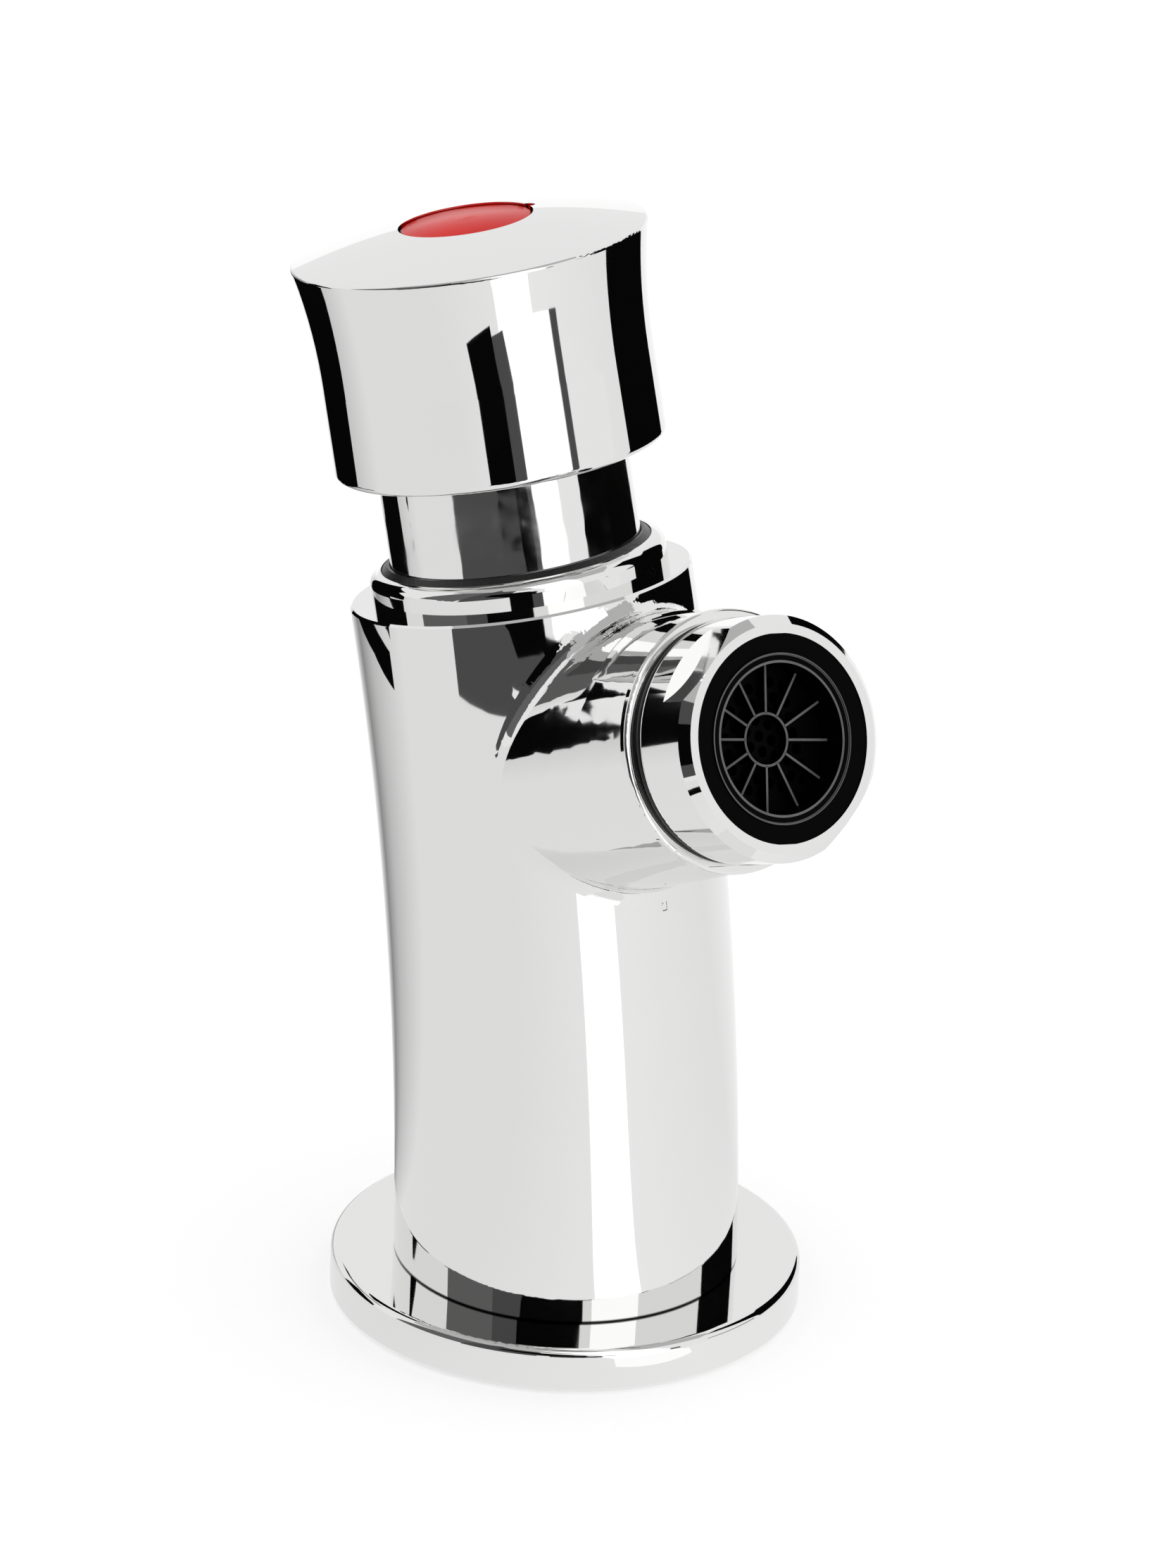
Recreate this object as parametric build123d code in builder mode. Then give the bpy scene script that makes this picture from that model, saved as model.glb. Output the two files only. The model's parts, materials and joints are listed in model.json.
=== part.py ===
from build123d import *
from math import cos, radians, sin
import os

# Self-closing tap for a wall: a leaning cast body with a push button on top and a short spout.
# The origin is at the centre of the wall flange's back face. +Z runs out of the wall along the
# inlet, the spout reaches towards -Y and the body leans towards +Y. Lengths are in millimetres.

os.makedirs("parts", exist_ok=True)

# Body
body_lean = 16.3
body_wall = 3.25
rim_chamfer = 0.25
base_wall = 3.5

# Wall flange and the inlet behind it: the inlet's radius is that of its thread's roots
flange_thickness = 5.0
flange_overhang = 6.7
flange_shoulder = 0.9
flange_foot = 0.6
flange_rim = 2.6
gasket_thickness = 1.2
inlet_radius = 10.48
inlet_depth = 13.5
strainer_ledge = 1.5
strainer_ring = 2.0
strainer_height = 9.0
strainer_skin = 0.8
strainer_hole = 0.8
strainer_rows = 3
strainer_row_holes = 8
passage_ledge = 2.0
passage_length = 5.75

# Spout: its neck leaves the body's centreline a drop below the rim, and stations run along its axis
neck_drop = 4.75
spout_rise = 23.4
spout_reach = 33.2
stub_wall = 2.05
stub_edge = 0.4
stub_land = 1.0
neck_spread = 1.2
neck_fillet = 2.4
outlet_thread_radius = 12.0
outlet_thread_depth = 6.8
outlet_ledge = 3.5
outlet_cavity_depth = 5.4
waterway_radius = 4.5
waterway_drop = 3.4

# Push button
button_travel = 7.0
sleeve_radius = 13.4
sleeve_wall = 1.2
sleeve_overlap = 1.5
cap_gap = 10.6
cap_height = 23.3
cap_overhang = 4.35
cap_flare = 1.45
cap_flare_height = 13.2
cap_crown = 2.75
cap_edge = 0.35
cap_foot = 0.8
cap_skirt_wall = 2.2
cap_skirt_depth = 6.0
cap_web = 4.9
screw_pocket_depth = 3.2
index_recess_depth = 2.7
index_skin = 1.0
index_wall = 1.5
index_radius = 6.9
index_clearance = 0.35
index_drop = 0.25
index_dome = 0.45
notch_radius = 0.8
notch_depth = 1.2
notch_angle = -15.0

# Collar that holds the cartridge down, and the wiper ring inside it
collar_height = 3.3
collar_wall = 2.15
collar_round = 1.3
skirt_wall = 1.3
wiper_width = 0.95
wiper_depth = 1.1
wiper_lip = 0.5
wiper_edge = 0.3

# Cartridge
cartridge_flange = 2.0
chamber_step = 2.0
water_gap = 2.0
housing_wall = 2.0
seal_band = 4.0
seal_thickness = 1.6
port_radius = 1.8
port_count = 8
port_margin = 0.8
seat_thickness = 2.5
seat_ledge = 1.5
seat_land = 1.0
seat_gap = 1.6
spring_wire = 1.6
spring_turns = 8
spring_gap = 0.6
spindle_radius = 3.0
cover_plug = 3.0
cover_plate = 2.0
guide_wall = 4.0
guide_height = 8.0
piston_height = 4.0
cup_height = 2.0
cup_web = 1.0
cup_lip = 1.0
clip_thickness = 0.8
clip_width = 2.0
washer_thickness = 2.5
washer_gap = 0.6
backing_thickness = 2.0
nut_thickness = 2.8
nut_wall = 1.75
valve_room_gap = 2.4

# Cap screw
screw_radius = 2.0
screw_depth = 8.0
screw_head_radius = 3.6
screw_head_height = 2.6
screw_socket_width = 2.5
screw_socket_depth = 1.6

# Aerator
outlet_seal = 0.9
shell_length = 7.85
shell_overhang = 1.1
shell_bevel = 0.95
shell_back_round = 0.5
lip_width = 1.0
shell_wall = 1.6
shell_thread = 6.2
flat_depth = 1.0
flat_length = 4.2
flat_angle = 125.0
insert_recess = 2.3
insert_sink = 0.15
insert_wall = 1.85
insert_length = 8.9
bead_offset = 0.6
bead_width = 0.2
bead_height = 0.12
star_rim = 0.5
star_depth = 3.8
spoke_count = 12
spoke_width = 0.5
spoke_thickness = 1.0
spoke_sink = 2.7
hub_radius = 2.9
hub_width = 0.4
screen_thickness = 0.6
screen_hole = 0.6
screen_pitch = 1.7
screen_rows = 7
screen_rim = 0.4
regulator_thickness = 4.5
regulator_holes = 8
regulator_hole = 1.2

# Clearances
press_gap = 0.05
running_gap = 0.1
slide_gap = 0.3
stop_gap = 0.3
end_gap = 1.5


# Radii, worked outward from the sleeve
sleeve_bore = sleeve_radius - sleeve_wall
collar_bore = sleeve_radius + slide_gap
collar_radius = collar_bore + collar_wall
skirt_radius = collar_bore + skirt_wall
rim_bore = skirt_radius + press_gap
body_radius = rim_bore + body_wall
flange_radius = body_radius + flange_overhang
neck_radius = outlet_thread_radius + stub_wall
cap_radius = sleeve_radius + cap_overhang
cap_top_radius = cap_radius + cap_flare
chamber_radius = skirt_radius - chamber_step
housing_radius = chamber_radius - water_gap
housing_bore = housing_radius - housing_wall
seal_band_radius = chamber_radius - running_gap
seat_radius = housing_bore - seat_ledge
washer_radius = seat_radius - washer_gap
valve_room_radius = washer_radius + valve_room_gap
ledge_radius = inlet_radius - strainer_ledge
passage_radius = ledge_radius - passage_ledge

# Heights, along the button's axis from the body's top rim
skirt_bottom = -(sleeve_overlap + button_travel + end_gap)
shoulder = skirt_bottom - cartridge_flange
cover_bottom = skirt_bottom - cover_plug
cover_top = skirt_bottom + cover_plate
piston_top = cover_bottom - stop_gap
piston_bottom = piston_top - piston_height
cup_bottom = piston_bottom - cup_height
clip_bottom = cup_bottom - clip_thickness
port_height = clip_bottom - button_travel - port_radius - stop_gap
bore_bottom = port_height - port_radius - port_margin
seat_top = bore_bottom - seat_land
seat_bottom = seat_top - seat_thickness
washer_top = seat_bottom - running_gap
washer_bottom = washer_top - washer_thickness
backing_bottom = washer_bottom - backing_thickness
nut_bottom = backing_bottom - nut_thickness
spindle_bottom = nut_bottom - press_gap
housing_bottom = bore_bottom - seal_band
chamber_bottom = housing_bottom - stop_gap
valve_floor = spindle_bottom - button_travel - stop_gap
cap_bottom = collar_height + cap_gap
cap_top = cap_bottom + cap_height
index_floor = cap_top + cap_crown - index_recess_depth
screw_seat = index_floor - screw_pocket_depth
web_bottom = screw_seat - cap_web

# Lengths along the body's curved centreline, out from the wall
strainer_seat = inlet_depth + strainer_ring
body_length = strainer_seat + strainer_height + passage_length - valve_floor
spout_height = body_length - neck_radius - neck_drop

# Stations along the spout's axis
thread_end = spout_reach - outlet_thread_depth
cavity_end = thread_end - outlet_cavity_depth
shell_back = spout_reach + outlet_seal
shell_face = shell_back + shell_length
shell_end = shell_back - shell_thread
shell_radius = outlet_thread_radius + shell_overhang
shell_thread_radius = outlet_thread_radius - running_gap
shell_bore = shell_thread_radius - shell_wall
insert_pocket = shell_radius - shell_bevel - lip_width
insert_face = shell_face - insert_sink
insert_step = shell_face - insert_recess
insert_bore = shell_bore - running_gap - insert_wall
insert_back = insert_face - insert_length
spoke_face = insert_face - spoke_sink


def centre_point(length):
    """Point on the body's centreline at a length from the wall."""
    bend_radius = body_length / radians(body_lean)
    turn = length / bend_radius
    return Vector(0, bend_radius * (1 - cos(turn)), bend_radius * sin(turn))


rim_centre = centre_point(body_length)
button_axis = Vector(0, sin(radians(body_lean)), cos(radians(body_lean)))
button_line = Axis(rim_centre, button_axis)
button_section = Plane(rim_centre, x_dir=(1, 0, 0), z_dir=Vector(1, 0, 0).cross(button_axis))
spout_root = centre_point(spout_height)
spout_axis = Vector(0, -cos(radians(spout_rise)), sin(radians(spout_rise)))
spout_line = Axis(spout_root, spout_axis)
spout_section = Plane(spout_root, x_dir=(1, 0, 0), z_dir=Vector(1, 0, 0).cross(spout_axis))


def button_plane(height):
    """Plane across the button's axis at a height over the body's rim."""
    return Plane(rim_centre + button_axis * height, x_dir=(1, 0, 0), z_dir=button_axis)


def spout_plane(station):
    """Plane across the spout's axis, with its Y pointing up."""
    return Plane(spout_root + spout_axis * station, x_dir=(1, 0, 0), z_dir=spout_axis)


def turned(section, axis, outline, rounds=(), mode=Mode.ADD):
    """Turns a closed outline of (radius, height) points about an axis, some corners rounded."""
    with BuildSketch(section) as profile:
        with BuildLine():
            Polyline(*outline, close=True)
        make_face()
        for corner, radius in rounds:
            fillet(profile.vertices().sort_by_distance(corner)[0], radius)
    revolve(profile.sketch, axis=axis, mode=mode)


def on_button(outline, rounds=(), mode=Mode.ADD):
    """Turns an outline about the button's axis."""
    turned(button_section, button_line, outline, rounds, mode)


def on_spout(outline, rounds=(), mode=Mode.ADD):
    """Turns an outline about the spout's axis."""
    turned(spout_section, spout_line, outline, rounds, mode)


def on_inlet(outline, rounds=(), mode=Mode.ADD):
    """Turns an outline about the inlet's axis."""
    turned(Plane.XZ, Axis.Z, outline, rounds, mode)


def tube(inner, outer, low, high):
    """Outline of a plain ring."""
    return [(inner, low), (outer, low), (outer, high), (inner, high)]


def rod(radius, low, high):
    """Outline of a plain rod."""
    return tube(0, radius, low, high)


def ring_seal(section, axis, centre_radius, height, thickness):
    """A round-section seal ring."""
    with BuildSketch(section) as profile:
        with Locations((centre_radius, height)):
            Circle(thickness / 2)
    revolve(profile.sketch, axis=axis)


# Wall flange: a turned cover plate with a recess for its gasket
spigot_radius = inlet_radius + base_wall
flange_hole = spigot_radius + running_gap
gasket_outer = flange_radius - flange_rim
with BuildPart() as wall_flange:
    on_inlet(
        [
            (flange_hole, gasket_thickness),
            (gasket_outer, gasket_thickness),
            (gasket_outer, 0),
            (flange_radius - flange_foot, 0),
            (flange_radius, flange_foot),
            (flange_radius, flange_thickness),
            (flange_hole, flange_thickness),
        ],
        [((flange_radius, flange_thickness), flange_shoulder)],
    )

with BuildPart() as wall_gasket:
    on_inlet(tube(flange_hole + slide_gap, gasket_outer - press_gap, 0, gasket_thickness))

# Body: a bent tube with the spout's neck growing out of it, cast and bored as one piece
valve_floor_point = rim_centre + button_axis * valve_floor
passage_top = valve_floor_point.Z + passage_radius * sin(radians(body_lean)) + slide_gap
with BuildPart() as tap_body:
    with BuildLine():
        ThreePointArc(centre_point(0), centre_point(body_length), centre_point(body_length + body_radius))
    with BuildSketch(Plane.XY):
        Circle(body_radius)
    sweep()
    with BuildSketch(spout_plane(0)):
        with Locations((0, -neck_spread)):
            Circle(neck_radius + neck_spread)
    with BuildSketch(spout_plane(spout_reach - stub_land)):
        Circle(neck_radius)
    loft()
    fillet(tap_body.edges(Select.NEW), neck_fillet)
    split(bisect_by=button_plane(0), keep=Keep.BOTTOM)
    split(bisect_by=Plane.XY.offset(flange_thickness), keep=Keep.TOP)
    with BuildSketch(Plane.XY):
        Circle(spigot_radius)
    extrude(amount=flange_thickness)
    on_spout(
        rod(neck_radius, spout_reach - stub_land, spout_reach),
        [((neck_radius, spout_reach), stub_edge)],
    )
    chamfer(tap_body.faces().sort_by(button_line)[-1].outer_wire().edges(), rim_chamfer)
    on_button(
        [
            (0, 0),
            (rim_bore, 0),
            (rim_bore, shoulder),
            (chamber_radius, shoulder),
            (chamber_radius, chamber_bottom),
            (valve_room_radius, chamber_bottom),
            (valve_room_radius, valve_floor),
            (0, valve_floor),
        ],
        mode=Mode.SUBTRACT,
    )
    on_inlet(
        [
            (0, 0),
            (inlet_radius, 0),
            (inlet_radius, inlet_depth),
            (ledge_radius, inlet_depth),
            (ledge_radius, strainer_seat),
            (passage_radius, strainer_seat),
            (passage_radius, passage_top),
            (0, passage_top),
        ],
        mode=Mode.SUBTRACT,
    )
    on_spout(
        [
            (0, cavity_end),
            (outlet_thread_radius - outlet_ledge, cavity_end),
            (outlet_thread_radius - outlet_ledge, thread_end),
            (outlet_thread_radius, thread_end),
            (outlet_thread_radius, spout_reach),
            (0, spout_reach),
        ],
        mode=Mode.SUBTRACT,
    )
    with BuildSketch(spout_plane(0)):
        with Locations((0, -waterway_drop)):
            Circle(waterway_radius)
    extrude(amount=cavity_end, mode=Mode.SUBTRACT)

# Strainer: a perforated thimble in the inlet
strainer_radius = passage_radius - running_gap
with BuildPart() as inlet_strainer:
    on_inlet(
        [
            (strainer_radius - strainer_skin, inlet_depth),
            (ledge_radius - press_gap, inlet_depth),
            (ledge_radius - press_gap, strainer_seat),
            (strainer_radius, strainer_seat),
            (strainer_radius, strainer_seat + strainer_height),
            (0, strainer_seat + strainer_height),
            (0, strainer_seat + strainer_height - strainer_skin),
            (strainer_radius - strainer_skin, strainer_seat + strainer_height - strainer_skin),
        ]
    )
    for row in range(strainer_rows):
        row_height = strainer_seat + strainer_height * (row + 1) / (strainer_rows + 1)
        with Locations(Plane.XY.offset(row_height)):
            with PolarLocations(strainer_radius, strainer_row_holes):
                Cylinder(strainer_hole, 4 * strainer_skin, rotation=(0, 90, 0), mode=Mode.SUBTRACT)

# Collar nut: its skirt screws into the rim and holds the cartridge down
wiper_radius = sleeve_radius + running_gap + wiper_width
with BuildPart() as collar_nut:
    on_button(
        [
            (collar_bore, skirt_bottom),
            (skirt_radius, skirt_bottom),
            (skirt_radius, 0),
            (collar_radius, 0),
            (collar_radius, collar_height),
            (wiper_radius + press_gap, collar_height),
            (wiper_radius + press_gap, collar_height - wiper_depth),
            (collar_bore, collar_height - wiper_depth),
        ],
        [((collar_radius, collar_height), collar_round)],
    )

with BuildPart() as wiper_ring:
    on_button(
        [
            (sleeve_radius + running_gap, collar_height - wiper_depth),
            (wiper_radius, collar_height - wiper_depth),
            (wiper_radius, collar_height - running_gap),
            (sleeve_radius + running_gap + wiper_edge, collar_height + wiper_lip),
            (sleeve_radius + running_gap, collar_height + wiper_lip),
        ]
    )

# Push button: a cap on a sliding sleeve, with a coloured index let into its crown
with BuildPart() as push_sleeve:
    on_button(tube(sleeve_bore, sleeve_radius, -sleeve_overlap, web_bottom))

recess_radius = index_radius + index_clearance
socket_radius = sleeve_radius + press_gap
cap_cavity = cap_radius - cap_skirt_wall
flare_radius = (cap_flare_height**2 + cap_flare**2) / (2 * cap_flare)
crown_radius = (cap_top_radius**2 + cap_crown**2) / (2 * cap_crown)
recess_rim = cap_top + cap_crown - (crown_radius - (crown_radius**2 - recess_radius**2) ** 0.5)
with BuildPart() as push_cap:
    with BuildSketch(button_section) as cap_profile:
        with BuildLine():
            Polyline(
                (0, cap_top + cap_crown),
                (0, web_bottom),
                (socket_radius, web_bottom),
                (socket_radius, cap_bottom + cap_skirt_depth),
                (cap_cavity, cap_bottom + cap_skirt_depth),
                (cap_cavity, cap_bottom),
                (cap_radius, cap_bottom),
                (cap_radius, cap_top - cap_flare_height),
            )
            RadiusArc((cap_radius, cap_top - cap_flare_height), (cap_top_radius, cap_top), flare_radius)
            RadiusArc((cap_top_radius, cap_top), (0, cap_top + cap_crown), -crown_radius)
        make_face()
        corners = cap_profile.vertices()
        fillet(corners.sort_by_distance((cap_top_radius, cap_top))[0], cap_edge)
        corners = cap_profile.vertices()
        fillet(corners.sort_by_distance((cap_radius, cap_bottom))[0], cap_foot)
    revolve(axis=button_line)
    on_button(rod(recess_radius, index_floor, recess_rim + cap_crown), mode=Mode.SUBTRACT)
    on_button(rod(screw_head_radius + slide_gap, screw_seat, index_floor), mode=Mode.SUBTRACT)
    on_button(rod(screw_radius + press_gap, web_bottom, screw_seat), mode=Mode.SUBTRACT)
    with BuildSketch(button_plane(recess_rim - notch_depth)):
        with PolarLocations(recess_radius, 1, start_angle=notch_angle):
            Circle(notch_radius)
    extrude(amount=notch_depth + cap_crown, mode=Mode.SUBTRACT)

index_edge = recess_rim - index_drop
index_crown_radius = (index_radius**2 + index_dome**2) / (2 * index_dome)
with BuildPart() as index_button:
    with BuildSketch(button_section):
        with BuildLine():
            Polyline(
                (0, index_edge + index_dome),
                (0, index_floor + index_skin),
                (index_radius - index_wall, index_floor + index_skin),
                (index_radius - index_wall, index_floor),
                (index_radius, index_floor),
                (index_radius, index_edge),
            )
            RadiusArc((index_radius, index_edge), (0, index_edge + index_dome), -index_crown_radius)
        make_face()
    revolve(axis=button_line)

with BuildPart() as cap_screw:
    on_button(
        [
            (0, web_bottom - screw_depth),
            (screw_radius, web_bottom - screw_depth),
            (screw_radius, screw_seat),
            (screw_head_radius, screw_seat),
            (screw_head_radius, screw_seat + screw_head_height),
            (0, screw_seat + screw_head_height),
        ]
    )
    with BuildSketch(button_plane(screw_seat + screw_head_height)):
        RegularPolygon(screw_socket_width / 2, 6, major_radius=False)
    extrude(amount=-screw_socket_depth, mode=Mode.SUBTRACT)

# Spindle: joins the cap to the piston and the valve
with BuildPart() as spindle:
    on_button(rod(spindle_radius, spindle_bottom, web_bottom))
    on_button(
        rod(screw_radius + press_gap, web_bottom - screw_depth - stop_gap, web_bottom),
        mode=Mode.SUBTRACT,
    )

# Return spring: stands on the cartridge cover and pushes the cap up from inside the sleeve
spring_radius = sleeve_bore - spring_gap - spring_wire / 2
spring_low = cover_top + spring_wire / 2 + press_gap
spring_high = web_bottom - spring_wire / 2 - press_gap
with BuildPart() as return_spring:
    with BuildLine():
        coil = Helix(
            pitch=(spring_high - spring_low) / spring_turns,
            height=spring_high - spring_low,
            radius=spring_radius,
            center=rim_centre + button_axis * spring_low,
            direction=button_axis,
        )
    with BuildSketch(Plane(coil @ 0, z_dir=coil % 0)):
        Circle(spring_wire / 2)
    sweep(is_frenet=True)

# Cartridge cover: closes the damping chamber, guides the spindle and seats the spring
guide_radius = spindle_radius + guide_wall
spindle_hole = spindle_radius + running_gap / 2
spindle_seal_centre = spindle_radius + running_gap + seal_thickness / 2
with BuildPart() as cartridge_cover:
    on_button(
        [
            (spindle_hole, cover_bottom),
            (housing_bore - press_gap, cover_bottom),
            (housing_bore - press_gap, skirt_bottom),
            (sleeve_bore - spring_gap, skirt_bottom),
            (sleeve_bore - spring_gap, cover_top),
            (guide_radius, cover_top),
            (guide_radius, cover_top + guide_height),
            (spindle_hole, cover_top + guide_height),
        ]
    )
    on_button(
        tube(
            0,
            spindle_seal_centre + seal_thickness / 2 + press_gap,
            skirt_bottom - seal_thickness,
            skirt_bottom + press_gap,
        ),
        mode=Mode.SUBTRACT,
    )

with BuildPart() as spindle_seal:
    ring_seal(
        button_section,
        button_line,
        spindle_seal_centre,
        skirt_bottom - (seal_thickness - press_gap) / 2,
        seal_thickness,
    )

# Cartridge housing: a flanged barrel with two sealing bands and a ring of ports
upper_band = shoulder - seal_band
lower_band = housing_bottom + seal_band
seal_centre = chamber_radius - press_gap - seal_thickness / 2
groove_floor = seal_centre - seal_thickness / 2 - press_gap
upper_groove = shoulder - seal_band / 2
lower_groove = housing_bottom + seal_band / 2
with BuildPart() as cartridge_housing:
    on_button(
        [
            (housing_bore, skirt_bottom),
            (skirt_radius - running_gap, skirt_bottom),
            (skirt_radius - running_gap, shoulder),
            (seal_band_radius, shoulder),
            (seal_band_radius, upper_band),
            (housing_radius, upper_band),
            (housing_radius, lower_band),
            (seal_band_radius, lower_band),
            (seal_band_radius, housing_bottom),
            (seat_radius + press_gap, housing_bottom),
            (seat_radius + press_gap, seat_top),
            (seat_radius - seat_ledge, seat_top),
            (seat_radius - seat_ledge, bore_bottom),
            (housing_bore, bore_bottom),
        ]
    )
    for groove in (upper_groove, lower_groove):
        on_button(
            tube(
                groove_floor,
                chamber_radius,
                groove - seal_thickness / 2 - press_gap,
                groove + seal_thickness / 2 + press_gap,
            ),
            mode=Mode.SUBTRACT,
        )
    with BuildSketch(Plane(rim_centre + button_axis * port_height, x_dir=button_axis, z_dir=(1, 0, 0))):
        Circle(port_radius)
    port = extrude(amount=chamber_radius, mode=Mode.PRIVATE)
    for turn in range(port_count):
        add(port.rotate(button_line, turn * 360 / port_count), mode=Mode.SUBTRACT)

with BuildPart() as upper_seal:
    ring_seal(button_section, button_line, seal_centre, upper_groove, seal_thickness)

with BuildPart() as lower_seal:
    ring_seal(button_section, button_line, seal_centre, lower_groove, seal_thickness)

# Valve seat and what closes against it from below
with BuildPart() as valve_seat:
    on_button(tube(spindle_radius + seat_gap, seat_radius, seat_bottom, seat_top))

with BuildPart() as valve_washer:
    on_button(tube(spindle_radius + press_gap, washer_radius, washer_bottom, washer_top))

with BuildPart() as washer_backing:
    on_button(tube(spindle_radius + press_gap, washer_radius, backing_bottom, washer_bottom))

with BuildPart() as valve_nut:
    with BuildSketch(button_plane(nut_bottom)):
        RegularPolygon(spindle_radius + nut_wall, 6, major_radius=False)
        Circle(spindle_radius + press_gap, mode=Mode.SUBTRACT)
    extrude(amount=nut_thickness)

# Damping piston on the spindle
with BuildPart() as piston:
    on_button(tube(spindle_radius + press_gap, housing_bore - running_gap, piston_bottom, piston_top))

with BuildPart() as cup_seal:
    on_button(
        [
            (spindle_radius + press_gap, piston_bottom),
            (housing_bore - running_gap, piston_bottom),
            (housing_bore - running_gap, cup_bottom),
            (housing_bore - running_gap - cup_lip, cup_bottom),
            (housing_bore - running_gap - cup_lip, piston_bottom - cup_web),
            (spindle_radius + clip_width + slide_gap, piston_bottom - cup_web),
            (spindle_radius + clip_width + slide_gap, cup_bottom),
            (spindle_radius + press_gap, cup_bottom),
        ]
    )

with BuildPart() as piston_clip:
    on_button(tube(spindle_radius + press_gap, spindle_radius + clip_width, clip_bottom, cup_bottom))

# Aerator shell: screws into the spout, with two flats for a spanner
with BuildPart() as aerator_shell:
    on_spout(
        [
            (shell_bore, shell_end),
            (shell_thread_radius, shell_end),
            (shell_thread_radius, shell_back),
            (shell_radius, shell_back),
            (shell_radius, shell_face - shell_bevel),
            (shell_radius - shell_bevel, shell_face),
            (insert_pocket, shell_face),
            (insert_pocket, insert_step),
            (shell_bore, insert_step),
        ],
        [((shell_radius, shell_back), shell_back_round)],
    )
    with BuildSketch(spout_plane(shell_face)):
        with PolarLocations(2 * shell_radius - flat_depth, 2, start_angle=flat_angle):
            Rectangle(2 * shell_radius, 2 * shell_radius)
    extrude(amount=-flat_length, mode=Mode.SUBTRACT)

with BuildPart() as outlet_seal_ring:
    ring_seal(
        spout_section,
        spout_line,
        outlet_thread_radius + outlet_seal / 2 + press_gap,
        spout_reach + outlet_seal / 2,
        outlet_seal - 2 * press_gap,
    )

with BuildPart() as aerator_washer:
    on_spout(
        tube(
            outlet_thread_radius - outlet_ledge + slide_gap,
            outlet_thread_radius - slide_gap,
            thread_end,
            shell_end - press_gap,
        )
    )

# Aerator insert: the black housing inside the shell, with a fine bead round its face
bead_radius = insert_bore + bead_offset
with BuildPart() as aerator_insert:
    on_spout(
        [
            (insert_bore, insert_back),
            (shell_bore - running_gap, insert_back),
            (shell_bore - running_gap, insert_step),
            (insert_pocket - press_gap, insert_step),
            (insert_pocket - press_gap, insert_face),
            (bead_radius + bead_width, insert_face),
            (bead_radius + bead_width, insert_face + bead_height),
            (bead_radius, insert_face + bead_height),
            (bead_radius, insert_face),
            (insert_bore, insert_face),
        ]
    )

# Aerator star: a rim, spokes and a hub ring, set back from the face
star_radius = insert_bore - press_gap
spoke_start = hub_radius - hub_width / 2
spoke_end = star_radius - star_rim / 2
with BuildPart() as aerator_star:
    on_spout(tube(star_radius - star_rim, star_radius, insert_face - star_depth, insert_face))
    with BuildSketch(spout_plane(spoke_face)):
        Circle(hub_radius)
        with PolarLocations((spoke_start + spoke_end) / 2, spoke_count, start_angle=180 / spoke_count):
            Rectangle(spoke_end - spoke_start, spoke_width)
        Circle(hub_radius - hub_width, mode=Mode.SUBTRACT)
    extrude(amount=-spoke_thickness)

# Screen behind the star: a perforated disc with a plain rim
screen_top = insert_face - star_depth - press_gap
with BuildPart() as aerator_screen:
    with BuildSketch(spout_plane(screen_top)):
        Circle(star_radius)
        with HexLocations(screen_pitch / 2, screen_rows, screen_rows):
            Circle(screen_hole, mode=Mode.SUBTRACT)
    extrude(amount=-screen_thickness)
    on_spout(tube(star_radius - screen_rim, star_radius, screen_top - screen_thickness, screen_top))

with BuildPart() as flow_regulator:
    with BuildSketch(spout_plane(insert_back - press_gap)):
        Circle(shell_bore - running_gap)
        with PolarLocations((shell_bore - running_gap) / 2, regulator_holes):
            Circle(regulator_hole, mode=Mode.SUBTRACT)
    extrude(amount=-regulator_thickness)

pieces = {
    "wall_flange": wall_flange,
    "wall_gasket": wall_gasket,
    "tap_body": tap_body,
    "inlet_strainer": inlet_strainer,
    "collar_nut": collar_nut,
    "wiper_ring": wiper_ring,
    "push_sleeve": push_sleeve,
    "push_cap": push_cap,
    "index_button": index_button,
    "cap_screw": cap_screw,
    "spindle": spindle,
    "return_spring": return_spring,
    "cartridge_cover": cartridge_cover,
    "spindle_seal": spindle_seal,
    "cartridge_housing": cartridge_housing,
    "upper_seal": upper_seal,
    "lower_seal": lower_seal,
    "valve_seat": valve_seat,
    "valve_washer": valve_washer,
    "washer_backing": washer_backing,
    "valve_nut": valve_nut,
    "piston": piston,
    "cup_seal": cup_seal,
    "piston_clip": piston_clip,
    "aerator_shell": aerator_shell,
    "outlet_seal_ring": outlet_seal_ring,
    "aerator_washer": aerator_washer,
    "aerator_insert": aerator_insert,
    "aerator_star": aerator_star,
    "aerator_screen": aerator_screen,
    "flow_regulator": flow_regulator,
}
for name, piece in pieces.items():
    piece.part.label = name
    export_step(piece.part, f"parts/{name}.step")
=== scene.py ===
import json
from math import cos, pi, radians, sin

import bpy
from mathutils import Matrix, Vector


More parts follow.
